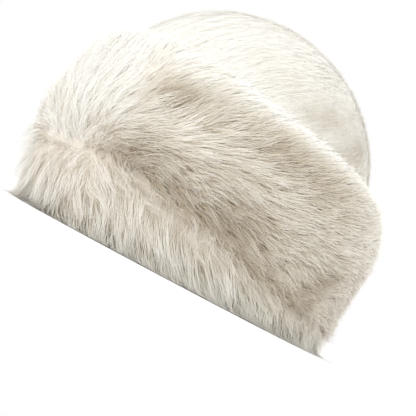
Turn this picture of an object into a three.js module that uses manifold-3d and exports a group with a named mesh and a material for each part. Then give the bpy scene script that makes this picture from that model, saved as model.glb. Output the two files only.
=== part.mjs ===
// Faux fur bucket hat, standing on its rim. Millimetres, +Z up, front of the hat toward -Y.
import * as THREE from 'three';
import { mergeVertices } from 'three/addons/utils/BufferGeometryUtils.js';
import Module from 'manifold-3d';

// Opening for the head, an oval
const HEAD_HALF_WIDTH = 80;
const HEAD_HALF_DEPTH = 96;
const HEAD_EASE = 1;

// Crown: a fur wall in the shape of a dome
const CROWN_WALL = 22;
const CROWN_RISE = 113;
const CROWN_LEVEL = 91;
const TIP_ANGLE = 42;
const SEAM_DROP = 14;

// Brim: how far its fur stands out from the head, and how high its ridge is at the front
const BRIM_REACH = 46;
const BRIM_HEIGHT = 138;
const RIM_WIDTH = 16;
const FACING_FLARE = 14;

// Gap left at every sewn seam
const SEAM_GAP = 0.5;

// Fur locks
const LOCK_LENGTH = 50;
const LOCK_HALF_WIDTH = 10;
const LOCK_RAISE = 4.2;
const LOCK_ROOT = 2.5;

// Mesh fineness
const COLUMNS = 36;

// Sections through the brim, at even steps of angle from the front to the back.
// Columns ending in Out are shares of BRIM_REACH, the others are shares of BRIM_HEIGHT.
const SECTION_ANGLE = 30;
const SECTION_COLUMNS = [
  'rimOut', 'rimLift', 'hangOut', 'hangHeight', 'edgeOut', 'edgeHeight', 'bulgeOut', 'bulgeHeight',
  'shoulderOut', 'shoulderHeight', 'ridgeOut', 'ridgeHeight', 'valleyHeight',
];
const SECTION_ROWS = [
  [0.64, 0.00, 0.79, 0.17, 0.87, 0.32, 0.97, 0.57, 0.81, 0.79, 0.52, 0.98, 1.07],
  [0.65, 0.04, 0.81, 0.18, 0.89, 0.32, 0.98, 0.57, 0.82, 0.78, 0.53, 0.97, 1.06],
  [0.67, 0.06, 0.85, 0.15, 0.92, 0.26, 1.01, 0.57, 0.86, 0.76, 0.60, 0.92, 1.02],
  [0.69, 0.02, 0.87, 0.10, 0.92, 0.19, 1.02, 0.57, 0.89, 0.73, 0.65, 0.88, 0.96],
  [0.69, 0.00, 0.87, 0.08, 0.92, 0.15, 1.02, 0.57, 0.92, 0.70, 0.67, 0.83, 0.91],
  [0.69, 0.00, 0.87, 0.07, 0.92, 0.14, 1.02, 0.57, 0.94, 0.69, 0.70, 0.79, 0.87],
  [0.69, 0.00, 0.87, 0.07, 0.92, 0.14, 1.02, 0.57, 0.94, 0.69, 0.70, 0.78, 0.86],
];

// Rows of fur locks on each panel: the place of their roots across the panel, the place that their tips
// may not pass, the number of locks, their heading at the front and at the back (0 runs down the panel,
// 90 runs round to the back), and their length as a share of LOCK_LENGTH
const LOCK_COLUMNS = ['across', 'end', 'count', 'frontHeading', 'backHeading', 'length'];
const LOCK_ROWS = {
  crown_top: [
    [0.20, 0.90, 6, 10, 10, 0.80],
    [0.54, 0.92, 12, 12, 12, 0.60],
  ],
  crown_side: [
    [0.14, 0.85, 16, 20, 30, 0.55],
    [0.46, 0.85, 18, 28, 40, 0.55],
  ],
  brim_outer: [
    [0.30, 0.97, 16, 112, 92, 0.85],
    [0.53, 0.97, 18, 124, 88, 1.00],
    [0.74, 0.97, 18, 116, 84, 1.00],
    [0.89, 0.97, 18, 100, 86, 1.00],
  ],
  brim_facing: [
    [0.24, 0.86, 22, 14, 26, 0.36],
    [0.50, 0.86, 22, 6, 18, 0.36],
  ],
};

const FUR_CREAM = 0xe9e1d3;
const FUR_SHADE = 0xdcd2c1;

const wasm = await Module();
wasm.setup();

const radians = THREE.MathUtils.degToRad;

function catmullRom(a, b, c, d, t) {
  const linear = (c - a) * t;
  const square = (2 * a - 5 * b + 4 * c - d) * t * t;
  const cube = (3 * b - a - 3 * c + d) * t * t * t;
  return 0.5 * (2 * b + linear + square + cube);
}

// The brim's section at any angle round the hat, in millimetres
function brimSection(angle) {
  const fromFront = Math.abs(THREE.MathUtils.euclideanModulo(angle + 180, 360) - 180);
  const last = SECTION_ROWS.length - 1;
  const row = Math.min(Math.floor(fromFront / SECTION_ANGLE), last - 1);
  const t = fromFront / SECTION_ANGLE - row;
  const mirrored = (index) => SECTION_ROWS[index > last ? 2 * last - index : Math.abs(index)];
  const [a, b, c, d] = [row - 1, row, row + 1, row + 2].map(mirrored);
  const section = {};
  SECTION_COLUMNS.forEach((name, column) => {
    const share = catmullRom(a[column], b[column], c[column], d[column], t);
    section[name] = share * (name.endsWith('Out') ? BRIM_REACH : BRIM_HEIGHT);
  });
  section.rimLift = Math.max(section.rimLift, 0);
  return section;
}

// A section point holds the half width and half depth of its oval, and its height
function ovalPoint(reach, height) {
  return new THREE.Vector3(HEAD_HALF_WIDTH + reach, HEAD_HALF_DEPTH + reach, height);
}

function domePoint(depth, polar) {
  const cover = HEAD_EASE + CROWN_WALL - depth;
  const across = Math.sin(polar);
  const height = CROWN_LEVEL + (CROWN_RISE - depth) * Math.cos(polar);
  return new THREE.Vector3((HEAD_HALF_WIDTH + cover) * across, (HEAD_HALF_DEPTH + cover) * across, height);
}

function domePolar(depth, height) {
  return Math.acos(THREE.MathUtils.clamp((height - CROWN_LEVEL) / (CROWN_RISE - depth), -1, 1));
}

function place(angle, point) {
  const turn = radians(angle);
  return new THREE.Vector3(point.x * Math.sin(turn), -point.y * Math.cos(turn), point.z);
}

function curve(points, steps) {
  return new THREE.CatmullRomCurve3(points, false, 'centripetal').getPoints(steps);
}

// Moves a line of section points sideways, to the right of its direction seen with the hat's axis on the left
function moveAside(points, distance) {
  return points.map((point, index) => {
    const before = points[Math.max(index - 1, 0)];
    const after = points[Math.min(index + 1, points.length - 1)];
    const along = new THREE.Vector2(after.y - before.y, after.z - before.z).normalize();
    const out = along.y * distance;
    return new THREE.Vector3(point.x + out, point.y + out, point.z - along.x * distance);
  });
}

// Dome arc between two polar angles, in radians
function domeArc(depth, from, to, steps) {
  return Array.from({ length: steps + 1 }, (_, index) => domePoint(depth, from + ((to - from) * index) / steps));
}

// Seam lines shared by the panels that meet there
function brimSeam(angle) {
  const outerHeight = brimSection(angle).valleyHeight;
  const outer = domePoint(0, domePolar(0, outerHeight));
  const inner = domePoint(CROWN_WALL, domePolar(CROWN_WALL, outerHeight - SEAM_DROP));
  return { outer, inner };
}

function backingLine(angle) {
  const section = brimSection(angle);
  const { inner } = brimSeam(angle);
  const edge = ovalPoint(section.edgeOut, section.edgeHeight);
  const belly = ovalPoint(section.bulgeOut - CROWN_WALL, section.bulgeHeight);
  return curve([inner, inner.clone().lerp(belly, 0.5), belly, edge], 6);
}

// Outer line of each panel, from its upper edge to its lower edge
const OUTER_LINES = {
  crown_top() {
    return domeArc(0, 0, radians(TIP_ANGLE), 6);
  },
  crown_side(angle) {
    const { outer } = brimSeam(angle);
    return domeArc(0, radians(TIP_ANGLE), domePolar(0, outer.z), 5);
  },
  brim_outer(angle) {
    const section = brimSection(angle);
    return curve([
      brimSeam(angle).outer,
      ovalPoint(section.ridgeOut, section.ridgeHeight),
      ovalPoint(section.shoulderOut, section.shoulderHeight),
      ovalPoint(section.bulgeOut, section.bulgeHeight),
      ovalPoint(section.edgeOut, section.edgeHeight),
    ], 12);
  },
  brim_facing(angle) {
    const section = brimSection(angle);
    return curve([
      ovalPoint(section.edgeOut, section.edgeHeight),
      ovalPoint(section.hangOut, section.hangHeight + section.rimLift / 2),
      ovalPoint(section.rimOut, section.rimLift),
    ], 4);
  },
};

// Closed section of each panel's wall
const WALL_SECTIONS = {
  crown_top(angle) {
    const outer = OUTER_LINES.crown_top(angle);
    const inner = domeArc(CROWN_WALL, radians(TIP_ANGLE), 0, 5);
    return [...outer, ...inner];
  },
  crown_side(angle) {
    const seam = brimSeam(angle);
    const outer = OUTER_LINES.crown_side(angle);
    const innerPolar = domePolar(CROWN_WALL, seam.inner.z);
    const inner = domeArc(CROWN_WALL, innerPolar, radians(TIP_ANGLE), 4);
    const [outerTop, innerTop] = moveAside([outer[0], inner.at(-1)], -SEAM_GAP);
    const [innerFoot, outerFoot] = moveAside([seam.inner, seam.outer], -SEAM_GAP);
    return [outerTop, ...outer.slice(1, -1), outerFoot, innerFoot, ...inner.slice(1, -1), innerTop];
  },
  brim_outer(angle) {
    const outer = OUTER_LINES.brim_outer(angle);
    const backing = backingLine(angle).reverse();
    return [...outer, ...backing.slice(1)];
  },
  brim_facing(angle) {
    const section = brimSection(angle);
    const backing = moveAside(backingLine(angle), SEAM_GAP);
    const outer = OUTER_LINES.brim_facing(angle).slice(1);
    const rimIn = ovalPoint(section.rimOut - RIM_WIDTH, section.rimLift);
    const level = ovalPoint(HEAD_EASE, CROWN_LEVEL);
    const flare = ovalPoint(FACING_FLARE / 2, (CROWN_LEVEL + section.rimLift) / 2);
    const lining = curve([rimIn, flare, level, backing[0]], 6).slice(0, -1);
    return [...backing, ...outer, ...lining];
  },
};

// Turns sections into a closed mesh: each section is joined to the next, and the last to the first.
// Every four-cornered face is split from its upper corner on one side to its lower corner on the next,
// so the facing sides of two panels are split alike and stay parallel.
function wallGeometry(sectionAt) {
  const positions = [];
  const faces = [];
  for (let column = 0; column < COLUMNS; column += 1) {
    const angle = (360 * column) / COLUMNS;
    const points = sectionAt(angle).map((point) => place(angle, point));
    const size = points.length;
    const here = column * size;
    const beside = ((column + 1) % COLUMNS) * size;
    points.forEach((point, row) => {
      positions.push(...point.toArray());
      const next = (row + 1) % size;
      const [a, b, c, d] = [here + row, beside + row, beside + next, here + next];
      if (point.z >= points[next].z) {
        faces.push(a, b, c, a, c, d);
      } else {
        faces.push(a, b, d, b, c, d);
      }
    });
  }
  return closedGeometry(positions, faces);
}

// Joins equal points, drops faces without area and turns the faces outward
function closedGeometry(positions, faces) {
  const loose = new THREE.BufferGeometry();
  loose.setAttribute('position', new THREE.Float32BufferAttribute(positions, 3));
  loose.setIndex(faces);
  const joined = mergeVertices(loose, 1e-3);
  const index = [...joined.index.array];
  const kept = [];
  for (let at = 0; at < index.length; at += 3) {
    const [a, b, c] = index.slice(at, at + 3);
    if (a !== b && b !== c && c !== a) {
      kept.push(a, b, c);
    }
  }
  const place3 = joined.attributes.position;
  const corner = (vertex) => new THREE.Vector3().fromBufferAttribute(place3, vertex);
  let volume = 0;
  for (let at = 0; at < kept.length; at += 3) {
    const [a, b, c] = kept.slice(at, at + 3).map(corner);
    volume += a.dot(b.cross(c)) / 6;
  }
  if (volume < 0) {
    kept.reverse();
  }
  joined.setIndex(kept);
  return joined;
}

function toSolid(geometry) {
  return new wasm.Manifold(new wasm.Mesh({
    numProp: 3,
    vertProperties: new Float32Array(geometry.attributes.position.array),
    triVerts: new Uint32Array(geometry.index.array),
  }));
}

function toGeometry(solid) {
  const mesh = solid.getMesh();
  const geometry = new THREE.BufferGeometry();
  geometry.setAttribute('position', new THREE.BufferAttribute(mesh.vertProperties, 3));
  geometry.setIndex(new THREE.BufferAttribute(mesh.triVerts, 1));
  const flat = geometry.toNonIndexed();
  flat.computeVertexNormals();
  return flat;
}

// Point on a panel's outer side: angle round the hat, and share of the way down the panel
function panelPoint(name, angle, across) {
  const line = OUTER_LINES[name](angle);
  const step = THREE.MathUtils.clamp(across, 0, 1) * (line.length - 1);
  const index = Math.min(Math.floor(step), line.length - 2);
  return place(angle, line[index].clone().lerp(line[index + 1], step - index));
}

// Directions on a panel: round the hat toward greater angles, down the panel, and out of the fur
function panelFrame(name, angle, across) {
  const turn = 1;
  const share = 0.02;
  const round = panelPoint(name, angle + turn, across).sub(panelPoint(name, angle - turn, across));
  const down = panelPoint(name, angle, across + share).sub(panelPoint(name, angle, across - share));
  const perDegree = round.length() / (2 * turn);
  const perShare = down.length() / (2 * share);
  const out = down.clone().cross(round).normalize();
  return { round: round.normalize(), down: down.normalize(), out, perDegree, perShare };
}

// One lock of fur: a flat wisp that leaves the wall at its root and narrows to a raised tip.
// It is cut short where it would pass the end of its row.
function lockSolid(name, { angle, across, end, heading, length: share }) {
  const steps = 2;
  const widths = [0.8, 1];
  const heights = [0.3, 1];
  const positions = [];
  const room = (end - across) * panelFrame(name, angle, across).perShare;
  const fall = Math.cos(radians(heading));
  const fullLength = LOCK_LENGTH * share;
  const length = fall > 0 ? Math.min(fullLength, room / fall) : fullLength;
  const fullWidth = LOCK_HALF_WIDTH * (1 + share) / 2;
  let at = { angle, across };
  for (let step = 0; step < steps; step += 1) {
    const frame = panelFrame(name, at.angle, at.across);
    const centre = panelPoint(name, at.angle, at.across);
    const turn = radians(heading);
    const along = frame.down.clone().multiplyScalar(Math.cos(turn)).addScaledVector(frame.round, Math.sin(turn));
    const side = frame.out.clone().cross(along).normalize();
    const halfWidth = fullWidth * widths[step];
    const raise = LOCK_RAISE * heights[step];
    const corners = [[-1, -LOCK_ROOT], [1, -LOCK_ROOT], [0, raise]];
    corners.forEach(([aside, lift]) => {
      const corner = centre.clone().addScaledVector(side, aside * halfWidth).addScaledVector(frame.out, lift);
      positions.push(...corner.toArray());
    });
    const travel = length / steps;
    at = {
      angle: at.angle + (travel * Math.sin(turn)) / frame.perDegree,
      across: at.across + (travel * Math.cos(turn)) / frame.perShare,
    };
  }
  const tipFrame = panelFrame(name, at.angle, at.across);
  const tip = panelPoint(name, at.angle, at.across).addScaledVector(tipFrame.out, LOCK_RAISE * 0.9);
  positions.push(...tip.toArray());
  const sides = 3;
  const tipIndex = steps * sides;
  const faces = [0, 1, 2];
  for (let step = 0; step < steps - 1; step += 1) {
    for (let corner = 0; corner < sides; corner += 1) {
      const a = step * sides + corner;
      const b = step * sides + ((corner + 1) % sides);
      faces.push(a, a + sides, b, b, a + sides, b + sides);
    }
  }
  for (let corner = 0; corner < sides; corner += 1) {
    const a = (steps - 1) * sides + corner;
    const b = (steps - 1) * sides + ((corner + 1) % sides);
    faces.push(a, tipIndex, b);
  }
  return toSolid(closedGeometry(positions, faces));
}

// A repeatable value between -1 and 1 for each lock
function uneven(row, index) {
  const wave = Math.sin(12.9898 * (row + 1) + 78.233 * (index + 1)) * 43758.5453;
  return 2 * (wave - Math.floor(wave)) - 1;
}

// Rows of locks, mirrored left and right, and combed from the front round to the back
function panelSolid(name) {
  let solid = toSolid(wallGeometry(WALL_SECTIONS[name]));
  LOCK_ROWS[name].forEach((values, row) => {
    const lockRow = Object.fromEntries(LOCK_COLUMNS.map((column, index) => [column, values[index]]));
    const perSide = lockRow.count / 2;
    const { frontHeading, backHeading } = lockRow;
    for (let index = 0; index < perSide; index += 1) {
      const shift = uneven(row, index);
      const angle = (180 * (index + 0.5 + 0.2 * shift)) / perSide;
      const heading = THREE.MathUtils.lerp(frontHeading, backHeading, angle / 180) + 6 * shift;
      const across = lockRow.across + 0.02 * uneven(row + 7, index);
      const length = lockRow.length * (1 + 0.12 * uneven(row + 3, index));
      const lock = { ...lockRow, angle, across, heading, length };
      solid = solid.add(lockSolid(name, lock));
      solid = solid.add(lockSolid(name, { ...lock, angle: -angle, heading: -heading }));
    }
  });
  return solid;
}

const hat = new THREE.Group();
hat.name = 'faux_fur_bucket_hat';
const PANEL_COLOURS = {
  crown_top: FUR_CREAM,
  crown_side: FUR_CREAM,
  brim_outer: FUR_CREAM,
  brim_facing: FUR_SHADE,
};
for (const [name, color] of Object.entries(PANEL_COLOURS)) {
  const material = new THREE.MeshStandardMaterial({ color, roughness: 0.95, metalness: 0 });
  const mesh = new THREE.Mesh(toGeometry(panelSolid(name)), material);
  mesh.name = name;
  hat.add(mesh);
}

// The origin lies under the middle of the hat, at the level it stands on
const bounds = new THREE.Box3().setFromObject(hat);
const middle = bounds.getCenter(new THREE.Vector3());
hat.position.set(-middle.x, -middle.y, -bounds.min.z);
hat.updateMatrixWorld(true);

export default hat;
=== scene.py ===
# Faux fur bucket hat: four sewn panels with their backing, covered in long pile made of single strands.
import math
from dataclasses import dataclass, replace

import bmesh
import bpy
import numpy as np
from mathutils import Matrix, Vector, kdtree


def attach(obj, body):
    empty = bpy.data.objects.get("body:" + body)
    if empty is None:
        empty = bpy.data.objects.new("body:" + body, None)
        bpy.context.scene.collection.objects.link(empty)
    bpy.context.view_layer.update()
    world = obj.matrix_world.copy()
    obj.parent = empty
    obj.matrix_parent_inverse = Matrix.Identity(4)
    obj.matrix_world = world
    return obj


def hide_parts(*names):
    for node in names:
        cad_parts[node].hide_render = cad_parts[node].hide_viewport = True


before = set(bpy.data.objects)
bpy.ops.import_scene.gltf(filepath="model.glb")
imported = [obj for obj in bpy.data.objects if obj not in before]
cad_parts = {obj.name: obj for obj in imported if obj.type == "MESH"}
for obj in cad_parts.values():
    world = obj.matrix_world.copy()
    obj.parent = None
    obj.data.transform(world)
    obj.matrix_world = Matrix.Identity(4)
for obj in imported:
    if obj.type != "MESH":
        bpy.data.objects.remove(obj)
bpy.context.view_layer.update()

# Sizes of the panels, in millimetres and degrees
HEAD_HALF_WIDTH = 80.0
HEAD_HALF_DEPTH = 96.0
HEAD_EASE = 1.0
CROWN_WALL = 22.0
CROWN_RISE = 113.0
CROWN_LEVEL = 91.0
TIP_ANGLE = 42.0
SEAM_DROP = 14.0
BRIM_REACH = 46.0
BRIM_HEIGHT = 138.0
RIM_WIDTH = 16.0
FACING_FLARE = 14.0
SEAM_GAP = 0.5
MM = 0.001

# The move that brings the middle of the hat's box over the origin
HAT_SHIFT = np.array([0.0, -2.52, 0.0])

# Sections through the brim, every 30 degrees from the front to the back.
# Columns ending in _out are shares of BRIM_REACH, the others are shares of BRIM_HEIGHT.
SECTION_ANGLE = 30.0
SECTION_COLUMNS = (
    "rim_out rim_lift hang_out hang_height edge_out edge_height bulge_out bulge_height "
    "shoulder_out shoulder_height ridge_out ridge_height valley_height"
).split()
SECTION_ROWS = np.array([
    [0.64, 0.00, 0.79, 0.17, 0.87, 0.32, 0.97, 0.57, 0.81, 0.79, 0.52, 0.98, 1.07],
    [0.65, 0.04, 0.81, 0.18, 0.89, 0.32, 0.98, 0.57, 0.82, 0.78, 0.53, 0.97, 1.06],
    [0.67, 0.06, 0.85, 0.15, 0.92, 0.26, 1.01, 0.57, 0.86, 0.76, 0.60, 0.92, 1.02],
    [0.69, 0.02, 0.87, 0.10, 0.92, 0.19, 1.02, 0.57, 0.89, 0.73, 0.65, 0.88, 0.96],
    [0.69, 0.00, 0.87, 0.08, 0.92, 0.15, 1.02, 0.57, 0.92, 0.70, 0.67, 0.83, 0.91],
    [0.69, 0.00, 0.87, 0.07, 0.92, 0.14, 1.02, 0.57, 0.94, 0.69, 0.70, 0.79, 0.87],
    [0.69, 0.00, 0.87, 0.07, 0.92, 0.14, 1.02, 0.57, 0.94, 0.69, 0.70, 0.78, 0.86],
])

# Samples round the hat, along each stretch of its skin and along the backing inside the brim
ROUND = 120
STEP_ANGLE = 360.0 / ROUND
STRETCHES = {"crown": 48, "brim": 48, "facing": 20, "rim": 6, "lining": 30}
BACKING_STEPS = 24

# The parting, where the pile of the brim turns into the hanging pile. At each angle from the front it lies
# a number of rows of the skin above the folded edge.
PARTING_ANGLES = np.array([0.0, 12.0, 24.0, 40.0, 57.0, 90.0, 180.0])
PARTING_RISE = np.array([1.0, 3.0, 4.0, 3.0, 2.0, 0.0, 0.0])
PARTING_WIDTH = 4.0

# How far the pile stands off the skin, in millimetres: at shares of the named stretches, and in the second
# table at numbers of rows below the parting. SWELL_BLUR is the number of rows that it is evened out over.
SWELL_SHARES = {
    ("crown", 0.78): 0.0, ("brim", 0.0): -3.5, ("brim", 0.22): 4.0, ("brim", 0.45): 2.0,
    ("facing", 0.35): 1.0, ("rim", 0.0): 0.0,
}
PARTING_SWELL = [(-10.0, 0.0), (0.0, -3.5), (5.0, 1.0)]
SWELL_BLUR = 7

# How many times the directions in which a skin faces are evened out
NORMAL_PASSES = 3

# Paler and darker parts of the pile: angle from the front, share of the way from the valley to the parting,
# how far each reaches, and the change of tint. A share below 0 lies on the crown. The pale patches paint
# highlights where the light falls, and the dark ones at the parting and on the crown paint shade; the tan
# patches on the brim are the fur's own colour.
PAINTED_LIGHT_AND_TONES = [
    # Painted highlights at the front and along the lit ridge
    (0.0, 0.62, 18.0, 0.42, 0.70),
    (25.0, 0.16, 25.0, 0.22, 0.60),
    (62.0, 0.22, 25.0, 0.14, 0.60),
    (105.0, 0.18, 45.0, 0.14, 0.65),
    # Smaller paler patches
    (8.0, 0.95, 11.0, 0.15, 0.40),
    (38.0, 0.76, 9.0, 0.06, 0.20),
    (60.0, 0.69, 12.0, 0.10, 0.10),
    # Tan patches of the fur's own colour
    (30.0, 0.60, 10.0, 0.08, -0.32),
    (72.0, 0.52, 22.0, 0.16, -0.35),
    # Painted shade in the crease at the parting, over the tan roots that show there
    (24.0, 0.99, 7.0, 0.04, -0.50),
    (40.0, 1.00, 12.0, 0.035, -0.55),
    (62.0, 0.99, 14.0, 0.035, -0.55),
    (88.0, 1.00, 16.0, 0.035, -0.55),
    # Painted shade on the crown's lower side, near the valley
    (105.0, -0.10, 45.0, 0.32, -0.48),
]

# Heading of the nap on the brim, in degrees: 0 runs down, 90 round towards the back, 180 up.
# One row for each angle from the front, with the headings at the valley, the bulge and the parting.
NAP_ANGLES = np.array([0.0, 15.0, 35.0, 60.0, 90.0, 130.0, 160.0, 180.0])
NAP_ACROSS = np.array([0.0, 0.55, 1.0])
NAP_ROWS = np.array([
    [180, 180, 180],
    [172, 164, 130],
    [160, 142, 84],
    [142, 122, 76],
    [122, 114, 80],
    [106, 108, 84],
    [70, 68, 58],
    [0, 0, 0],
], dtype=float)

# The hanging pile leans to one side by HANG_LEAN degrees at HANG_SIDE degrees from the front, and less
# elsewhere. At the sides it also turns with the nap, by HANG_NAP degrees.
HANG_LEAN = 30.0
HANG_SIDE = 60.0
HANG_NAP = 16.0


def unit(vectors):
    return vectors / np.maximum(np.linalg.norm(vectors, axis=-1, keepdims=True), 1e-12)


def signed_angle(degrees):
    """The same angle between -180 and 180 degrees, with 0 at the front."""
    return (degrees + 180.0) % 360.0 - 180.0


def catmull_rom(a, b, c, d, t):
    """A value between b and c, on the even curve through the four."""
    linear = (c - a) * t
    square = (2 * a - 5 * b + 4 * c - d) * t**2
    cube = (3 * b - a - 3 * c + d) * t**3
    return 0.5 * (2 * b + linear + square + cube)


def brim_section(angles):
    """The brim's section at each angle: name to an array of millimetres."""
    from_front = np.abs(signed_angle(angles))
    last = len(SECTION_ROWS) - 1
    row = np.minimum((from_front // SECTION_ANGLE).astype(int), last - 1)
    t = (from_front / SECTION_ANGLE - row)[:, None]

    def mirrored(index):
        return SECTION_ROWS[np.where(index > last, 2 * last - index, np.abs(index))]

    shares = catmull_rom(mirrored(row - 1), mirrored(row), mirrored(row + 1), mirrored(row + 2), t)
    section = {}
    for column, name in enumerate(SECTION_COLUMNS):
        size = BRIM_REACH if name.endswith("_out") else BRIM_HEIGHT
        section[name] = shares[:, column] * size
    section["rim_lift"] = np.maximum(section["rim_lift"], 0.0)
    return section


def oval_point(reach, height):
    """Half width, half depth and height of the oval that stands out from the head by reach."""
    reach, height = np.broadcast_arrays(np.asarray(reach, float), np.asarray(height, float))
    return np.stack([HEAD_HALF_WIDTH + reach, HEAD_HALF_DEPTH + reach, height], axis=-1)


def dome_point(depth, polar):
    """Half width, half depth and height on the crown's dome, at a depth below its outside."""
    cover = HEAD_EASE + CROWN_WALL - depth
    across = np.sin(polar)
    half_width = (HEAD_HALF_WIDTH + cover) * across
    half_depth = (HEAD_HALF_DEPTH + cover) * across
    height = CROWN_LEVEL + (CROWN_RISE - depth) * np.cos(polar)
    return np.stack([half_width, half_depth, height], axis=-1)


def dome_polar(depth, height):
    """The angle from the dome's top at which it has the given height."""
    return np.arccos(np.clip((height - CROWN_LEVEL) / (CROWN_RISE - depth), -1.0, 1.0))


def dome_arc(depth, start, end, steps):
    share = np.linspace(0.0, 1.0, steps + 1)
    polar = start[:, None] + (end - start)[:, None] * share
    return dome_point(depth, polar)


def curve(points, steps):
    """Centripetal Catmull-Rom curve through points of shape (angles, controls, 3)."""
    count = points.shape[1]
    first = 2 * points[:, :1] - points[:, 1:2]
    final = 2 * points[:, -1:] - points[:, -2:-1]
    padded = np.concatenate([first, points, final], axis=1)
    out = []
    for share in np.linspace(0.0, 1.0, steps + 1):
        place = share * (count - 1)
        span = min(int(place), count - 2)
        w = place - span
        p0, p1, p2, p3 = (padded[:, span + step] for step in range(4))
        dt0, dt1, dt2 = (
            np.maximum(np.linalg.norm(b - a, axis=1, keepdims=True), 1e-6) ** 0.5
            for a, b in ((p0, p1), (p1, p2), (p2, p3))
        )
        t1 = ((p1 - p0) / dt0 - (p2 - p0) / (dt0 + dt1) + (p2 - p1) / dt1) * dt1
        t2 = ((p2 - p1) / dt1 - (p3 - p1) / (dt1 + dt2) + (p3 - p2) / dt2) * dt1
        square = -3 * p1 + 3 * p2 - 2 * t1 - t2
        cube = 2 * p1 - 2 * p2 + t1 + t2
        out.append(p1 + t1 * w + square * w**2 + cube * w**3)
    return np.stack(out, axis=1)


def place_round(angles, points):
    """Turns section points into places on the hat, in metres."""
    turn = np.radians(angles)
    turn = turn.reshape(turn.shape + (1,) * (points.ndim - 1 - turn.ndim))
    half_width, half_depth, height = np.moveaxis(points, -1, 0)
    placed = np.stack([half_width * np.sin(turn), -half_depth * np.cos(turn), height], axis=-1)
    return (placed + HAT_SHIFT) * MM


angles = np.arange(ROUND) * STEP_ANGLE
section = brim_section(angles)
crown_tip = np.zeros(ROUND)
valley_polar = dome_polar(0.0, section["valley_height"])
valley = dome_point(0.0, valley_polar)
seam = dome_point(CROWN_WALL, dome_polar(CROWN_WALL, section["valley_height"] - SEAM_DROP))
edge = oval_point(section["edge_out"], section["edge_height"])
ridge = oval_point(section["ridge_out"], section["ridge_height"])
shoulder = oval_point(section["shoulder_out"], section["shoulder_height"])
bulge = oval_point(section["bulge_out"], section["bulge_height"])
hang = oval_point(section["hang_out"], section["hang_height"] + section["rim_lift"] / 2)
rim_out = oval_point(section["rim_out"], section["rim_lift"])
rim_in = oval_point(section["rim_out"] - RIM_WIDTH, section["rim_lift"])
flare = oval_point(FACING_FLARE / 2, (CROWN_LEVEL + section["rim_lift"]) / 2)
level = oval_point(HEAD_EASE, np.full(ROUND, CROWN_LEVEL))
belly = oval_point(section["bulge_out"] - CROWN_WALL, section["bulge_height"])

stretch_lines = {
    "crown": dome_arc(0.0, crown_tip, valley_polar, STRETCHES["crown"]),
    "brim": curve(np.stack([valley, ridge, shoulder, bulge, edge], axis=1), STRETCHES["brim"]),
    "facing": curve(np.stack([edge, hang, rim_out], axis=1), STRETCHES["facing"]),
    "rim": curve(np.stack([rim_out, rim_in], axis=1), STRETCHES["rim"]),
    "lining": curve(np.stack([rim_in, flare, level, seam], axis=1), STRETCHES["lining"]),
}
backing = curve(np.stack([seam, (seam + belly) / 2, belly, edge], axis=1), BACKING_STEPS)

# One skin from the top of the crown down the outside, under the rim and up the inside
starts = {}
skin_lines = []
count = 0
for name, line in stretch_lines.items():
    starts[name] = count
    skin_lines.append(line[:, :-1])
    count += STRETCHES[name]
skin_lines.append(stretch_lines["lining"][:, -1:])
starts["end"] = count
skin = place_round(angles, np.concatenate(skin_lines, axis=1))


def skin_directions(places):
    """Steps round and down a skin, and its outward normals."""
    around = (np.roll(places, -1, axis=0) - np.roll(places, 1, axis=0)) / 2
    down = np.gradient(places, axis=1)
    out = np.cross(down, around)
    out[:, 0] = (0.0, 0.0, 1.0)
    out = unit(out)
    for _ in range(NORMAL_PASSES):
        soft = out.copy()
        soft[:, 1:-1] += out[:, :-2] + out[:, 2:]
        out = unit(soft)
    return around, down, out


def parting_row(turn):
    """Row of the skin on which the pile parts, at angles in steps of the skin."""
    from_front = np.abs(signed_angle(turn * STEP_ANGLE))
    return starts["facing"] - np.interp(from_front, PARTING_ANGLES, PARTING_RISE)


def pile_swell():
    """How far the pile stands off the skin, in millimetres, at each angle and row."""
    fixed = [(starts[name] + share * STRETCHES[name], size) for (name, share), size in SWELL_SHARES.items()]
    rows = np.arange(starts["end"] + 1)
    kernel = np.ones(SWELL_BLUR) / SWELL_BLUR
    lines = []
    for row in parting_row(np.arange(ROUND, dtype=float)):
        points = sorted(fixed + [(row + step, size) for step, size in PARTING_SWELL])
        line = np.interp(rows, [place for place, _ in points], [size for _, size in points])
        lines.append(np.convolve(np.pad(line, SWELL_BLUR // 2, mode="edge"), kernel, mode="valid"))
    return np.stack(lines)


# The pile swells over the ridge and sinks at the valley and at the parting
panel_out = skin_directions(skin)[2]
pile_skin = skin + panel_out * (pile_swell() * MM)[:, :, None]
skin_round, skin_down, skin_out = skin_directions(pile_skin)


def on_skin(table, turn, row):
    """Reads a table at an angle in steps of the table and a row, both with fractions."""
    row = np.clip(row, 0.0, starts["end"] - 1e-6)
    i = np.floor(turn).astype(int)
    j = row.astype(int)
    u = (turn - i)[:, None]
    v = (row - j)[:, None]
    i0 = i % ROUND
    i1 = (i + 1) % ROUND
    top = table[i0, j] * (1 - u) + table[i1, j] * u
    foot = table[i0, j + 1] * (1 - u) + table[i1, j + 1] * u
    return top * (1 - v) + foot * v


def brim_share(turn, row):
    """Share of the way from the valley to the parting."""
    return (row - starts["brim"]) / (parting_row(turn) - starts["brim"])


def nap_heading(turn, row, hangs):
    """Heading of the nap on the brim and the facing, in radians, and signed by the side of the hat."""
    angle = signed_angle(turn * STEP_ANGLE)
    side = np.sign(angle) + (angle == 0)
    from_front = np.abs(angle)
    if hangs:
        lean = HANG_LEAN * np.cos(np.radians(angle - HANG_SIDE))
        return np.radians(lean + HANG_NAP * np.sin(np.radians(from_front)) * side)
    across = np.clip(brim_share(turn, row), 0.0, 1.0)
    columns = np.stack([np.interp(from_front, NAP_ANGLES, column) for column in NAP_ROWS.T], axis=-1)
    low = np.where(across < NAP_ACROSS[1], 0, 1)
    share = (across - NAP_ACROSS[low]) / (NAP_ACROSS[low + 1] - NAP_ACROSS[low])
    pick = np.arange(len(turn))
    heading = columns[pick, low] * (1 - share) + columns[pick, low + 1] * share
    return np.radians(heading * side)


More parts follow.
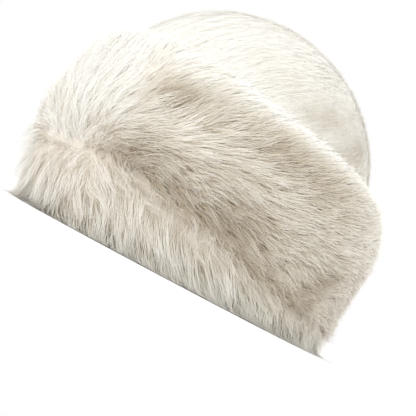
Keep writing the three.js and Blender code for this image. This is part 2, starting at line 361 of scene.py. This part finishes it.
# A strand is a line of STEPS parts. It keeps FLOOR_GAP metres off the floor, and the hanging pile turns
# outward by SPLAY of the length that would reach lower.
STEPS = 3
ALONG = np.linspace(0.0, 1.0, STEPS + 1)
FLOOR_GAP = 0.0006
SPLAY = 0.35

# The flat strand's width at its steps as shares of the full width, and the most that it rolls, in radians
TAPER = np.array([0.8, 1.0, 0.8])
STRAND_ROLL = 0.10

# The pile of the brim and that of the facing cross by this many rows of the skin at the parting
CROSSING = 0.8

# At the parting the pile stands up by this share of its length. Its heading varies by BEND degrees, and
# there by PARTING_BEND degrees more.
PARTING_STAND = 0.40
BEND = 7.0
PARTING_BEND = 24.0

# How much more evenly the pile lies where the tones make it paler by SMOOTH_TONE
SMOOTHING = 0.7
SMOOTH_TONE = 0.4

# A lock that clumps lean to stands for this many clumps
LOCK_CLUMPS = 8

# Powers of the share of a strand's length by which it changes towards its tip
GATHER_POWER = 1.4
CLOSING_POWER = 1.1
STRAY_POWER = 1.5
RISE_POWER = 2.1
DROOP_POWER = 4

# Lengths and widths as shares of a pile's own. The waves of length are added to CLUMP_LENGTH.
CLUMP_LENGTH = 0.88
CLUMP_LENGTHS = (0.85, 1.12)
STRAND_LENGTHS = (0.75, 1.05)
STRAND_WIDTHS = (0.7, 1.3)

# How high a clump rises, as shares of its pile's rise: in the middle, and the normal spread about it.
# Where the pile stands up, it rises by STAND_RISE of the length that stands as well, and STAND_FIRM of that
# length doesn't droop.
CLUMP_RISE = 0.8
CLUMP_RISE_SPREAD = 0.5
STAND_RISE = 0.5
STAND_FIRM = 0.4

# A clump spreads more along the nap than across it by this factor
SPREAD_AHEAD = 1.4

# Changes of tint: darker at the parting, partly the tan of the roots and partly painted shade in the crease;
# between clumps and between strands; and the limits of a tint
PARTING_TAN_AND_SHADE = 0.10
PARTING_TAN_AND_SHADE_MOST = 0.4
CLUMP_TINT = 0.07
STRAND_TINT = 0.04
TINT_LIMITS = (0.02, 0.98)

# The pile's paleness is multiplied by PALE_VALLEY at the valley and by PALE_FALL less at the parting, within
# PALE_FACTORS, and it goes up to PALE_MOST
PALE_VALLEY = 1.6
PALE_FALL = 1.3
PALE_FACTORS = (0.0, 1.4)
PALE_MOST = 0.7

# A field of waves is the sum of WAVE_COUNT waves, and WAVE_GAIN makes up for their cancelling each other
WAVE_COUNT = 6
WAVE_GAIN = 1.6

# Waves in the pile: the size of each in metres, and how much it changes
WAVES = {
    "length": (0.05, 0.12),
    "bend": (0.04, math.radians(15.0)),
    "lift": (0.03, 0.5),
    "tint": (0.035, 0.10),
    "parting": (0.03, 0.25),
    "tone": (0.025, 0.5),
}


@dataclass
class Pile:
    """How the fur of one stretch lies. Lengths are in metres, and the other values are shares.

    A strand starts at depth root, ends at height rise and sinks again by droop. Its clump spreads, gathers to
    locks and closes to a tip. Fall is how far it hangs straight down instead of following the skin.
    Tint and pale choose its colours, and soft is how far it takes the shading of the skin below.
    """

    seed: int
    clumps: int
    each: int
    length: float
    root: float
    rise: float
    droop: float
    spread: float
    gather: float
    closing: float
    frizz: float
    width: float
    tint: float
    pale: float
    soft: float
    hangs: bool = False
    fall: float = 0.0


def waves(points, scale, seed):
    """A smooth repeatable field between about -1 and 1 with features of the given size in metres."""
    rng = np.random.default_rng(seed)
    total = np.zeros(points.shape[:-1])
    for _ in range(WAVE_COUNT):
        direction = unit(rng.normal(size=3)) * 2 * math.pi / (scale * rng.uniform(0.8, 1.9))
        total += np.sin(points @ direction + rng.uniform(0, 2 * math.pi))
    return total / WAVE_COUNT * WAVE_GAIN


def pile_waves(kind, points, pile):
    """One of the waves of a pile, at the given places."""
    scale, change = WAVES[kind]
    return change * waves(points, scale, pile.seed + 1 + list(WAVES).index(kind))


def scatter(first, last, amount, rng, arc):
    """Places spread evenly by area between two rows of the skin and two angles: turn and row."""
    low, high = (int(round(angle * ROUND / 360.0)) for angle in arc)
    cells = np.arange(low, high) % ROUND
    here = skin[cells, first:last]
    beside = skin[(cells + 1) % ROUND, first:last]
    below = skin[cells, first + 1:last + 1]
    area = np.linalg.norm(np.cross(beside - here, below - here), axis=2)
    total = np.cumsum(area.ravel())
    picks = (np.arange(amount) + rng.random(amount)) / amount * total[-1]
    index = np.minimum(np.searchsorted(total, picks), total.size - 1)
    turn = index // area.shape[1] + low + rng.random(amount)
    row = index % area.shape[1] + first + rng.random(amount)
    return turn, row


CROWN_COVER = HEAD_EASE + CROWN_WALL
DOME_CENTRE = (HAT_SHIFT + (0.0, 0.0, CROWN_LEVEL)) * MM
DOME_HALF = np.array([HEAD_HALF_WIDTH + CROWN_COVER, HEAD_HALF_DEPTH + CROWN_COVER, CROWN_RISE]) * MM

# The crown's pile lies away from this place behind it, and swirls a little
NAP_SOURCE = DOME_CENTRE + (0.0, 0.14, 0.10)
SWIRL = 0.28
SWIRL_SIZE = 0.09
SWIRL_SEED = 5


def dome_normal(point):
    return unit((point - DOME_CENTRE) / DOME_HALF**2)


def crown_step(point, length):
    """A step along the nap on the crown's dome."""
    out = dome_normal(point)
    wanted = point - NAP_SOURCE
    along = unit(wanted - out * np.sum(wanted * out, axis=1, keepdims=True))
    swirl = SWIRL * waves(point, SWIRL_SIZE, SWIRL_SEED)
    along = unit(along + np.cross(out, along) * swirl[:, None])
    moved = (point + along * length[:, None] - DOME_CENTRE) / DOME_HALF
    return unit(moved) * DOME_HALF + DOME_CENTRE


def guides(turn, row, pile, rng):
    """Lines that lie on the skin along the nap, and their normals: (roots, STEPS + 1, 3)."""
    amount = len(turn)
    point = on_skin(pile_skin, turn, row)
    crown = row < starts["brim"]
    outside = row < starts["rim"]
    length = pile.length * (CLUMP_LENGTH + pile_waves("length", point, pile))
    length = length * rng.uniform(*CLUMP_LENGTHS, amount)
    parting = np.exp(-((row - parting_row(turn)) / PARTING_WIDTH) ** 2)
    stand = np.where(crown, 0.0, PARTING_STAND * parting)
    bend = rng.normal(0.0, 1.0, amount) * np.radians(BEND + PARTING_BEND * parting)
    bend = bend + pile_waves("bend", point, pile)
    hang = np.zeros(amount)
    fallen = point
    paths = [point]
    normals = [on_skin(skin_out, turn, row)]
    for _ in range(STEPS):
        step = length * (1 - stand) / STEPS
        heading = nap_heading(turn, row, pile.hangs) + bend
        around = np.linalg.norm(on_skin(skin_round, turn, row), axis=1)
        down = np.linalg.norm(on_skin(skin_down, turn, row), axis=1)
        on_dome = crown_step(paths[-1], step)
        turn = turn + np.where(crown, 0.0, step * np.sin(heading) / np.maximum(around, 1e-5))
        row = row + np.where(crown, 0.0, step * np.cos(heading) / np.maximum(down, 1e-5))
        past_rim = np.where(outside, np.maximum(row - starts["rim"], 0.0), 0.0)
        hang = hang + past_rim * down
        row = row - past_rim
        place = on_skin(pile_skin, turn, row) - hang[:, None] * (0.0, 0.0, 1.0)
        sideways = unit(on_skin(skin_round, turn, row)) * (step * np.sin(heading))[:, None]
        fallen = fallen + sideways - (step * np.cos(heading))[:, None] * (0.0, 0.0, 1.0)
        place = place + (fallen - place) * pile.fall
        paths.append(np.where(crown[:, None], on_dome, place))
        facing_out = on_skin(skin_out, turn, row)
        level = unit(fallen * (1.0, 1.0, 0.0))
        facing_out = unit(facing_out + (level - facing_out) * pile.fall)
        normals.append(np.where(crown[:, None], dome_normal(on_dome), facing_out))
    return np.stack(paths, axis=1), np.stack(normals, axis=1), stand * length


def painted_light_and_tone(turn, row):
    """Change of tint at places on the pile: painted highlights and painted shade, and the fur's own tan
    patches.
    """
    from_front = np.abs(signed_angle(turn * STEP_ANGLE))
    across = brim_share(turn, row)
    change = np.zeros(len(turn))
    for angle, share, angle_reach, share_reach, amount in PAINTED_LIGHT_AND_TONES:
        off = ((from_front - angle) / angle_reach) ** 2 + ((across - share) / share_reach) ** 2
        change += amount * np.exp(-off)
    return change


def lean_to_locks(path, pile, rough, rng):
    """Leans each clump to the nearest of a coarser set of locks."""
    clumps = len(path)
    leaders = rng.choice(clumps, max(clumps // LOCK_CLUMPS, 1), replace=False)
    tree = kdtree.KDTree(len(leaders))
    for index, leader in enumerate(leaders):
        tree.insert(path[leader, 0], index)
    tree.balance()
    nearest = leaders[[tree.find(root)[1] for root in path[:, 0]]]
    share = pile.gather * rough[:, None] * ALONG**GATHER_POWER
    return path + (path[nearest] - path) * share[:, :, None]


def clump_heights(path, stand, pile, rough, rng):
    """Height of each clump along its length: it leaves the backing steeply and then lies down."""
    lift = pile.rise * (CLUMP_RISE + pile_waves("lift", path[:, 0], pile))
    lift = lift + rng.normal(0, pile.rise * CLUMP_RISE_SPREAD, len(path)) * rough
    lift = lift + STAND_RISE * stand
    height = -pile.root + (pile.root + lift[:, None]) * (1 - (1 - ALONG) ** RISE_POWER)[None]
    return height - pile.droop * (lift - STAND_FIRM * stand)[:, None] * ALONG[None] ** DROOP_POWER


def spread_clumps(path, normal, members, pile, rough, rng):
    """The strands of each clump, beside each other. Members holds each strand's clump."""
    amount = len(members)
    out = normal[members, 0]
    side = unit(np.cross(out, path[members, 1] - path[members, 0]))
    ahead = np.cross(side, out)
    offset = side * rng.normal(0, pile.spread, (amount, 1))
    offset = offset + ahead * rng.normal(0, pile.spread * SPREAD_AHEAD, (amount, 1))
    closed = (1 - pile.closing * rough[members, None] * ALONG**CLOSING_POWER)[:, :, None]
    stray = rng.normal(0, pile.frizz, (amount, 1, 3)) * (ALONG**STRAY_POWER)[None, :, None]
    stray = stray * rough[members, None, None]
    shorter = rng.uniform(*STRAND_LENGTHS, amount)[:, None, None]
    root = path[members, :1]
    strands = root + (path[members] - root) * shorter + offset[:, None, :] * closed + stray
    below = np.maximum(FLOOR_GAP - strands[:, :, 2], 0.0)
    outward = unit(root[:, 0, :2])
    strands[:, :, :2] += outward[:, None] * below[:, :, None] * (SPLAY if pile.fall else 0.0)
    strands[:, :, 2] += below
    return strands


def clump_tints(turn, row, roots, tone, pile, rng):
    """Tint of each clump, and how far on the way to the tip's colour its roots start. Both take in the
    painted shade at the parting and the painted highlights and shade of the tones.
    """
    # At the parting the tint is darker and the roots less pale: partly the tan roots, partly painted shade in
    # the crease
    parting = np.exp(-((row - parting_row(turn) + PARTING_WIDTH) / PARTING_WIDTH) ** 2)
    darker = np.clip(PARTING_TAN_AND_SHADE + pile_waves("parting", roots, pile), 0.0, PARTING_TAN_AND_SHADE_MOST)
    tint = pile.tint - parting * darker
    tone = tone * (1 + pile_waves("tone", roots, pile))
    pale = pile.pale * (1 - parting)
    if not pile.hangs:
        factor = np.clip(PALE_VALLEY - PALE_FALL * brim_share(turn, row), *PALE_FACTORS)
        pale = np.clip(pale * factor + tone, 0.0, PALE_MOST)
    uneven = pile_waves("tint", roots, pile) + CLUMP_TINT * rng.normal(size=len(roots))
    return tint + tone + uneven * (1 - pale), pale


def strand_lines(first, last, pile, arc=(0.0, 360.0)):
    """Strands between two rows of the skin: their points, the way they face, tints, widths and shading."""
    rng = np.random.default_rng(pile.seed)
    turn, row = scatter(first, last, pile.clumps, rng, arc)
    beyond = (row - parting_row(turn)) * (-1 if pile.hangs else 1)
    turn, row = turn[beyond < CROSSING], row[beyond < CROSSING]
    path, normal, stand = guides(turn, row, pile, rng)
    tone = painted_light_and_tone(turn, row)
    rough = 1 - SMOOTHING * np.clip(tone / SMOOTH_TONE, 0.0, 1.0)
    path = lean_to_locks(path, pile, rough, rng)
    path = path + normal * clump_heights(path, stand, pile, rough, rng)[:, :, None]
    members = np.repeat(np.arange(len(path)), pile.each)
    strands = spread_clumps(path, normal, members, pile, rough, rng)
    tint, pale = clump_tints(turn, row, path[:, 0], tone, pile, rng)
    tint = np.clip(tint[members] + STRAND_TINT * rng.normal(size=len(members)), *TINT_LIMITS)
    width = pile.width * rng.uniform(*STRAND_WIDTHS, len(members))
    soft = 1 - (1 - pile.soft) * rough
    return strands, normal[members], tint, width, pale[members], soft[members]


def strand_shading(tangent, flat, normal, soft):
    """Normals of a strand's corners, mostly those of the skin below, which keeps the pile soft."""
    soft = soft[:, None, None]
    own = np.cross(tangent, flat)
    own *= np.sign(np.sum(own * normal, axis=2, keepdims=True))
    shade = unit(unit(own) * (1 - soft) + normal * soft)
    return np.concatenate([np.repeat(shade[:, :-1], 2, axis=1), shade[:, -1:]], axis=1)


def strand_mesh(name, sets, material):
    """One mesh of flat tapered strands. Its map holds the tint across and the share of the length along."""
    strands, normal, tint, width, pale, soft = (np.concatenate(column) for column in zip(*sets))
    amount = len(strands)
    rng = np.random.default_rng(amount)
    tangent = np.gradient(strands, axis=1)
    side = unit(np.cross(normal, tangent))
    up = unit(np.cross(tangent, side))
    roll = rng.uniform(-STRAND_ROLL, STRAND_ROLL, amount)[:, None, None]
    flat = side * np.cos(roll) + up * np.sin(roll)

    # Two corners at each step and one at the tip
    half = TAPER[None, :, None] * width[:, None, None] / 2
    left = strands[:, :-1] - flat[:, :-1] * half
    right = strands[:, :-1] + flat[:, :-1] * half
    body = np.stack([left, right], axis=2).reshape(amount, 2 * STEPS, 3)
    verts = np.concatenate([body, strands[:, -1:]], axis=1)
    corners = 2 * STEPS + 1
    quads = [[2 * s + 1, 2 * s, 2 * s + 2, 2 * s + 3] for s in range(STEPS - 1)]
    pattern = np.array(sum(quads, []) + [2 * STEPS - 1, 2 * STEPS - 2, 2 * STEPS])
    loops = (np.arange(amount)[:, None] * corners + pattern[None]).ravel()
    sizes = np.tile([4] * (STEPS - 1) + [3], amount)
    begins = np.concatenate([[0], np.cumsum(sizes)[:-1]])

    mesh = bpy.data.meshes.new(name)
    mesh.vertices.add(amount * corners)
    mesh.vertices.foreach_set("co", verts.astype(np.float32).ravel())
    mesh.loops.add(len(loops))
    mesh.loops.foreach_set("vertex_index", loops.astype(np.int32))
    mesh.polygons.add(len(sizes))
    mesh.polygons.foreach_set("loop_start", begins.astype(np.int32))
    mesh.polygons.foreach_set("use_smooth", np.ones(len(sizes), dtype=bool))
    mesh.update(calc_edges=True)

    u = np.broadcast_to(tint[:, None], (amount, corners))
    along = np.append(np.repeat(np.arange(STEPS) / STEPS, 2), 1.0)
    v = 0.01 + 0.98 * (pale[:, None] + (1 - pale[:, None]) * along)
    uv = np.stack([u, v], axis=2)[:, pattern].reshape(-1, 2)
    layer = mesh.uv_layers.new(name="OFBake")
    layer.data.foreach_set("uv", uv.astype(np.float32).ravel())
    shade = strand_shading(tangent, flat, normal, soft)
    mesh.normals_split_custom_set_from_vertices(shade.reshape(-1, 3).tolist())
    mesh.materials.append(material)
    return add_object(name, mesh)


def add_object(name, data):
    made = bpy.data.objects.new(name, data)
    bpy.context.scene.collection.objects.link(made)
    return made


# Materials, with the depth of their bumps in metres and the stops between which a noise changes tone
BUMP_DEPTH = 0.0006
TONE_STOPS = (0.3, 0.7)


def new_material(name):
    material = bpy.data.materials.new(name)
    material.use_nodes = True
    nodes = material.node_tree.nodes
    return material, nodes, material.node_tree.links, nodes["Principled BSDF"]


def ramp(nodes, stops):
    node = nodes.new("ShaderNodeValToRGB")
    elements = node.color_ramp.elements
    while len(elements) < len(stops):
        elements.new(0.5)
    for element, (position, colour) in zip(elements, stops):
        element.position = position
        element.color = (*colour, 1.0)
    return node


def texture(nodes, links, kind, scale):
    """A texture laid out over the object itself."""
    coords = nodes.new("ShaderNodeTexCoord")
    made = nodes.new(kind)
    made.inputs["Scale"].default_value = scale
    links.new(coords.outputs["Object"], made.inputs["Vector"])
    return made


def two_tones(nodes, links, shader, noise, dark, light):
    """Colours the surface between two tones by a noise."""
    tone = ramp(nodes, list(zip(TONE_STOPS, (dark, light))))
    links.new(noise.outputs["Fac"], tone.inputs["Fac"])
    links.new(tone.outputs["Color"], shader.inputs["Base Color"])


def add_bumps(nodes, links, shader, source, strength):
    """Small bumps that follow a texture."""
    bump = nodes.new("ShaderNodeBump")
    bump.inputs["Strength"].default_value = strength
    bump.inputs["Distance"].default_value = BUMP_DEPTH
    links.new(source.outputs["Fac"], bump.inputs["Height"])
    links.new(bump.outputs["Normal"], shader.inputs["Normal"])


def strand_material():
    """Pile that is tan at the root and cream at the tip, a little different in each clump. The tint across
    also carries painted highlights and painted shade.
    """
    material, nodes, links, shader = new_material("long_pile")
    uv = nodes.new("ShaderNodeUVMap")
    uv.uv_map = "OFBake"
    split = nodes.new("ShaderNodeSeparateXYZ")
    links.new(uv.outputs["UV"], split.inputs[0])
    along = ramp(nodes, [
        (0.0, (0.34, 0.25, 0.16)),
        (0.25, (0.46, 0.37, 0.27)),
        (0.48, (0.75, 0.68, 0.56)),
        (0.70, (0.90, 0.87, 0.80)),
        (1.0, (0.97, 0.967, 0.948)),
    ])
    links.new(split.outputs["Y"], along.inputs["Fac"])
    by_clump = ramp(nodes, [
        (0.0, (0.58, 0.505, 0.41)),
        (0.35, (0.78, 0.745, 0.68)),
        (0.65, (0.95, 0.938, 0.905)),
        (0.95, (1.0, 1.0, 0.992)),
    ])
    links.new(split.outputs["X"], by_clump.inputs["Fac"])
    tinted = nodes.new("ShaderNodeMix")
    tinted.data_type = "RGBA"
    tinted.blend_type = "MULTIPLY"
    tinted.inputs["Factor"].default_value = 1.0
    links.new(along.outputs["Color"], tinted.inputs["A"])
    links.new(by_clump.outputs["Color"], tinted.inputs["B"])
    links.new(tinted.outputs["Result"], shader.inputs["Base Color"])
    shader.inputs["Roughness"].default_value = 0.62
    shader.inputs["Specular IOR Level"].default_value = 0.25
    shader.inputs["Sheen Weight"].default_value = 0.5
    shader.inputs["Sheen Roughness"].default_value = 0.5
    return material


def underfur_material(name, dark, light):
    """Dense short undercoat with a fine grain."""
    material, nodes, links, shader = new_material(name)
    noise = texture(nodes, links, "ShaderNodeTexNoise", 900.0)
    noise.inputs["Detail"].default_value = 3.0
    two_tones(nodes, links, shader, noise, dark, light)
    add_bumps(nodes, links, shader, noise, 0.4)
    shader.inputs["Roughness"].default_value = 0.95
    return material


def backing_material():
    """Knitted cream backing on the inside of the crown."""
    material, nodes, links, shader = new_material("knit_backing")
    wales = texture(nodes, links, "ShaderNodeTexWave", 160.0)
    wales.inputs["Distortion"].default_value = 1.5
    wales.inputs["Detail"].default_value = 1.0
    grain = texture(nodes, links, "ShaderNodeTexNoise", 300.0)
    two_tones(nodes, links, shader, grain, (0.70, 0.65, 0.56), (0.80, 0.76, 0.68))
    add_bumps(nodes, links, shader, wales, 0.5)
    shader.inputs["Roughness"].default_value = 0.9
    return material


def floor_material():
    """Plain pale floor with a faint change of tone."""
    material, nodes, links, shader = new_material("pale_floor")
    noise = texture(nodes, links, "ShaderNodeTexNoise", 3.0)
    two_tones(nodes, links, shader, noise, (0.90, 0.90, 0.89), (0.92, 0.92, 0.91))
    shader.inputs["Roughness"].default_value = 0.8
    return material


# Panels under the pile. They lie below it by these depths in millimetres, and at both ends of a stretch by
# SUNK_ENDS. The ends change to the full depth between the shares of the stretch in SUNK_SHARES.
CROWN_DEPTH = 0.6
PILE_DEPTH = {"brim": 3.8, "facing": 4.5, "rim": 3.0, "lining": 4.0}
SUNK_ENDS = {"brim": (4.0, 5.0), "facing": (5.0, 4.0), "rim": (4.0, 3.5), "lining": (3.5, 0.5)}
SUNK_SHARES = [0.0, 0.2, 0.8, 1.0]

# The crown's side panel reaches this far below the valley, in millimetres
VALLEY_TUCK = 4.0

# Faces of a panel that meet at more than this angle, in degrees, have a sharp edge
EDGE_ANGLE = 50.0

# Corners of a panel that lie nearer together than this, in metres, are one
WELD_DISTANCE = 1e-6

# Samples along the crown's panels
OUTER_STEPS = 20
TOP_INNER_STEPS = 16
SIDE_INNER_STEPS = 12


def sunk(name):
    """A stretch of the skin, sunk by the depth of its pile and by other depths at its ends."""
    begin = starts[name]
    rows = np.arange(begin, begin + STRETCHES[name] + 1)
    share = (rows - begin) / STRETCHES[name]
    before, after = SUNK_ENDS[name]
    depth = np.interp(share, SUNK_SHARES, [before, PILE_DEPTH[name], PILE_DEPTH[name], after])
    return pile_skin[:, rows] - panel_out[:, rows] * (depth * MM)[None, :, None]


def panel_mesh(name, parts, materials):
    """A closed wall from lines of places round the hat.

    Each part is a line and the index of its material.
    """
    line = np.concatenate([part for part, _ in parts], axis=1)
    kinds = np.concatenate([np.full(part.shape[1], kind) for part, kind in parts])
    rows = line.shape[1]
    verts = line.reshape(-1, 3)
    i = np.arange(ROUND)[:, None]
    j = np.arange(rows)[None]
    here = i * rows
    beside = (i + 1) % ROUND * rows
    after = (j + 1) % rows
    faces = np.stack([here + j, here + after, beside + after, beside + j], axis=-1).reshape(-1, 4)
    mesh = bpy.data.meshes.new(name)
    mesh.from_pydata(verts.tolist(), [], faces.tolist())
    for material in materials:
        mesh.materials.append(material)
    mesh.polygons.foreach_set("material_index", np.tile(kinds, ROUND).astype(np.int32))
    mesh.polygons.foreach_set("use_smooth", np.ones(len(faces), dtype=bool))
    weld(mesh)
    mesh.set_sharp_from_angle(angle=math.radians(EDGE_ANGLE))
    return add_object(name, mesh)


def weld(mesh):
    """Joins the corners that lie in one place, as at the top of the crown."""
    work = bmesh.new()
    work.from_mesh(mesh)
    bmesh.ops.remove_doubles(work, verts=work.verts, dist=WELD_DISTANCE)
    bmesh.ops.recalc_face_normals(work, faces=work.faces)
    work.to_mesh(mesh)
    work.free()


def dome_line(depth, start, end, steps):
    return place_round(angles, dome_arc(depth, start, end, steps))


pile_material = strand_material()
undercoat = underfur_material("undercoat", (0.70, 0.63, 0.54), (0.84, 0.78, 0.70))
# The crown's undercoat is paler than the brim's, partly painted light on the top that faces the light
lit_crown_undercoat = underfur_material("lit_crown_undercoat", (0.83, 0.80, 0.745), (0.90, 0.88, 0.84))
knit = backing_material()

top_seam = np.full(ROUND, math.radians(TIP_ANGLE))
side_end = dome_polar(CROWN_DEPTH, valley[:, 2] - VALLEY_TUCK)
inner_end = dome_polar(CROWN_WALL, seam[:, 2] + SEAM_GAP)
seam_polar = SEAM_GAP / CROWN_RISE

crown_top_body = panel_mesh("crown_top_body", [
    (dome_line(CROWN_DEPTH, crown_tip, top_seam, OUTER_STEPS), 0),
    (dome_line(CROWN_WALL, top_seam - seam_polar, crown_tip, TOP_INNER_STEPS), 1),
], [lit_crown_undercoat, knit])
crown_side_body = panel_mesh("crown_side_body", [
    (dome_line(CROWN_DEPTH, top_seam, side_end, OUTER_STEPS), 0),
    (dome_line(CROWN_WALL, inner_end, top_seam, SIDE_INNER_STEPS), 1),
], [lit_crown_undercoat, knit])
backing_line = place_round(angles, backing)
brim_outer_body = panel_mesh("brim_outer_body", [
    (sunk("brim"), 0),
    (backing_line[:, ::-1][:, 1:-1], 0),
], [undercoat])
brim_facing_body = panel_mesh("brim_facing_body", [
    (sunk("facing"), 0),
    (sunk("rim")[:, 1:], 0),
    (sunk("lining")[:, 1:], 0),
    (backing_line[:, 1:-1], 0),
], [undercoat])

# Pile on each panel. A strand has 5 triangles, and a piece stays under 200,000 triangles.
# The crown's pile has a paler tint than the brim's, partly painted light on the top that faces the light
crown_upper_pile = Pile(
    seed=11, clumps=3900, each=10, length=0.021, root=0.0014, rise=0.0010, droop=0.6,
    spread=0.0030, gather=0.20, closing=0.25, frizz=0.0010, width=0.00013, tint=0.97, pale=0.70, soft=1.0,
)
crown_lower_pile = replace(crown_upper_pile, seed=111)
brim_left_pile = Pile(
    seed=23, clumps=3900, each=10, length=0.026, root=0.0044, rise=0.0017, droop=0.8,
    spread=0.0024, gather=0.32, closing=0.45, frizz=0.0016, width=0.00022, tint=0.58, pale=0.34, soft=0.96,
)
brim_right_pile = replace(brim_left_pile, seed=123)
facing_pile = Pile(
    seed=41, clumps=3000, each=10, length=0.032, root=0.0050, rise=0.0030, droop=0.2,
    spread=0.0026, gather=0.55, closing=0.55, frizz=0.0018, width=0.00024, tint=0.71, pale=0.42, soft=0.95,
    hangs=True, fall=0.6,
)
rim_pile = Pile(
    seed=47, clumps=450, each=10, length=0.018, root=0.0030, rise=0.0020, droop=0.0,
    spread=0.0026, gather=0.30, closing=0.30, frizz=0.0014, width=0.00030, tint=0.74, pale=0.35, soft=0.9,
    hangs=True, fall=1.0,
)
lining_pile = Pile(
    seed=59, clumps=950, each=10, length=0.020, root=0.0040, rise=0.0030, droop=0.3,
    spread=0.0036, gather=0.30, closing=0.40, frizz=0.0014, width=0.00032, tint=0.50, pale=0.25, soft=0.8,
    hangs=True,
)

# Rows of the skin between which each pile has its roots. Near the folded edge, roots past the parting are
# left out. The crown's two piles meet at the row that about halves its area.
CROWN_SPLIT = 32
crown_upper_rows = (0, CROWN_SPLIT)
crown_lower_rows = (CROWN_SPLIT, starts["brim"])
brim_rows = (starts["brim"], starts["facing"] + 3)
facing_rows = (starts["facing"] - 12, starts["lining"])
rim_rows = (starts["rim"] - 2, starts["rim"] + 1)
lining_rows = (starts["lining"], starts["end"] - 2)

upper_lines = strand_lines(*crown_upper_rows, crown_upper_pile)
upper_fur = strand_mesh("crown_fur_upper", [upper_lines], pile_material)
lower_lines = strand_lines(*crown_lower_rows, crown_lower_pile)
lower_fur = strand_mesh("crown_fur_lower", [lower_lines], pile_material)
left_lines = strand_lines(*brim_rows, brim_left_pile, (0.0, 180.0))
left_fur = strand_mesh("brim_fur_left", [left_lines], pile_material)
right_lines = strand_lines(*brim_rows, brim_right_pile, (180.0, 360.0))
right_fur = strand_mesh("brim_fur_right", [right_lines], pile_material)
facing_lines = strand_lines(*facing_rows, facing_pile)
rim_lines = strand_lines(*rim_rows, rim_pile)
lining_lines = strand_lines(*lining_rows, lining_pile)
facing_fur = strand_mesh("facing_fur", [facing_lines, rim_lines, lining_lines], pile_material)

stands_for = {
    crown_top_body: ["crown_top"],
    crown_side_body: ["crown_side"],
    upper_fur: ["crown_top", "crown_side"],
    lower_fur: ["crown_side"],
    brim_outer_body: ["brim_outer"],
    left_fur: ["brim_outer"],
    right_fur: ["brim_outer"],
    brim_facing_body: ["brim_facing"],
    facing_fur: ["brim_facing"],
}
for piece, nodes in stands_for.items():
    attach(piece, "root")
    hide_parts(*nodes)

# Floor, with its radius in metres
FLOOR_RADIUS = 8.0
bpy.ops.mesh.primitive_circle_add(vertices=96, radius=FLOOR_RADIUS, fill_type="NGON")
floor = bpy.context.object
floor.name = "floor"
floor.data.materials.append(floor_material())

# White surroundings. The hat is lit by their softer GLOW, and the camera sees them at SEEN.
SEEN = 1.0
GLOW = 0.64
WHITE = (1.0, 1.0, 1.0, 1.0)


def studio_world():
    world = bpy.data.worlds.new("studio")
    world.use_nodes = True
    nodes = world.node_tree.nodes
    links = world.node_tree.links
    seen = nodes["Background"]
    glow = nodes.new("ShaderNodeBackground")
    for background, strength in ((seen, SEEN), (glow, GLOW)):
        background.inputs["Color"].default_value = WHITE
        background.inputs["Strength"].default_value = strength
    rays = nodes.new("ShaderNodeLightPath")
    choice = nodes.new("ShaderNodeMixShader")
    links.new(rays.outputs["Is Camera Ray"], choice.inputs["Fac"])
    links.new(glow.outputs["Background"], choice.inputs[1])
    links.new(seen.outputs["Background"], choice.inputs[2])
    links.new(choice.outputs["Shader"], nodes["World Output"].inputs["Surface"])
    return world


scene = bpy.context.scene
scene.world = studio_world()
scene.view_settings.view_transform = "Standard"

# The camera: its angle round the hat, its roll, and lengths in metres. TARGET is the place in the hat that
# the picture shows at TARGET_PIXEL.
PHOTO_SIZE = 416
VIEW_AZIMUTH = math.radians(50.0)
VIEW_ROLL = math.radians(28.0)
VIEW_DISTANCE = 0.900
CAMERA_HEIGHT = 0.014
METRES_PER_PIXEL = 0.00075
SENSOR_WIDTH = 36.0
TARGET = Vector((0.0, 0.0, 0.095))
TARGET_PIXEL = (225.0, 163.0)

toward = Vector((math.sin(VIEW_AZIMUTH), -math.cos(VIEW_AZIMUTH), 0.0))
drop = CAMERA_HEIGHT - TARGET.z
eye = TARGET + toward * math.sqrt(VIEW_DISTANCE**2 - drop**2) + Vector((0.0, 0.0, drop))
forward = (TARGET - eye).normalized()
right = forward.cross(Vector((0.0, 0.0, 1.0))).normalized()
up = right.cross(forward)
image_up = up * math.cos(VIEW_ROLL) - right * math.sin(VIEW_ROLL)
image_right = right * math.cos(VIEW_ROLL) + up * math.sin(VIEW_ROLL)
across = (PHOTO_SIZE / 2 - TARGET_PIXEL[0]) * METRES_PER_PIXEL
down = (TARGET_PIXEL[1] - PHOTO_SIZE / 2) * METRES_PER_PIXEL
aim = TARGET + image_right * across + image_up * down
look = (aim - eye).normalized()
side = look.cross(image_up).normalized()
camera_up = side.cross(look)
camera_data = bpy.data.cameras.new("camera")
camera_data.sensor_width = SENSOR_WIDTH
camera_data.lens = SENSOR_WIDTH * VIEW_DISTANCE / (PHOTO_SIZE * METRES_PER_PIXEL)
camera = add_object("camera", camera_data)
camera.matrix_world = Matrix.Translation(eye) @ Matrix((side, camera_up, -look)).transposed().to_4x4()
scene.camera = camera


def soft_light(name, direction, energy, spread):
    """A light from far away, from the given direction, as wide as its spread in degrees."""
    lamp = bpy.data.lights.new(name, "SUN")
    lamp.energy = energy
    lamp.angle = math.radians(spread)
    add_object(name, lamp).rotation_euler = direction.to_track_quat("Z", "Y").to_euler()


soft_light("key", image_up + image_right * 0.25 + toward * 0.10, 2.85, 100.0)
soft_light("fill", toward * 0.6 - image_right + image_up * 0.3, 0.7, 60.0)
soft_light("edge", image_right - toward * 0.3 + image_up * 0.2, 0.45, 100.0)
